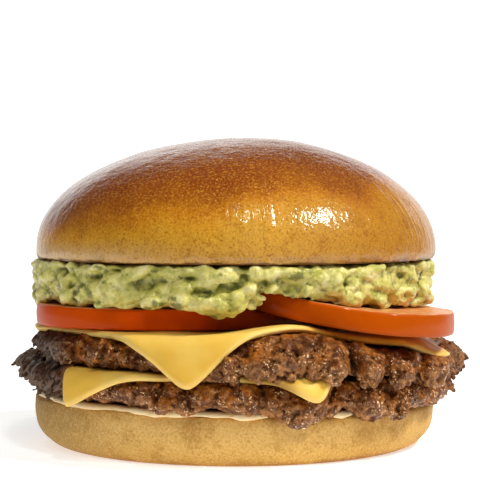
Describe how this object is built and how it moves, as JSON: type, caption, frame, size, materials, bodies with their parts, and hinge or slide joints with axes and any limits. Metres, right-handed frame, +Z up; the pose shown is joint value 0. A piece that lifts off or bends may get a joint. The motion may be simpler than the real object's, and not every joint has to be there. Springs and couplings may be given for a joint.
{
  "type": "double cheeseburger",
  "caption": "Stacked burger with smashed beef patties, melted cheese slices, tomato slices and mashed avocado in a glazed brioche bun.",
  "frame": {"origin": "middle of the heel's flat base, where the burger stands", "axes": "+Z up, -Y towards the side that the picture shows, +X to the right as that side is seen"},
  "size_m": [0.1252, 0.123, 0.083],
  "materials": {
    "heel_bread": "matte golden bun side with fine mottling, browner at the foot",
    "sauce": "smooth, slightly glossy pale cream sauce",
    "beef": "craggy seared ground beef, moist and glistening, charred at the thin edges",
    "cheese": "soft satin melted cheese slice",
    "tomato": "smooth glossy skin round pale wet flesh",
    "avocado": "moist lumpy mash, pale yellow-green with darker green hollows",
    "glazed_crust": "egg-glazed brioche crust, brown on top and golden towards the rim, glossy with fine speckle"
  },
  "bodies": {
    "root": {"heel": "heel_bread", "sauce": "sauce", "patty_lower": "beef", "cheese_lower": "cheese", "patty_upper": "beef", "cheese_upper": "cheese", "tomato_left": "tomato", "tomato_right": "tomato", "avocado": "avocado", "crown": "glazed_crust"}
  },
  "joints": []
}
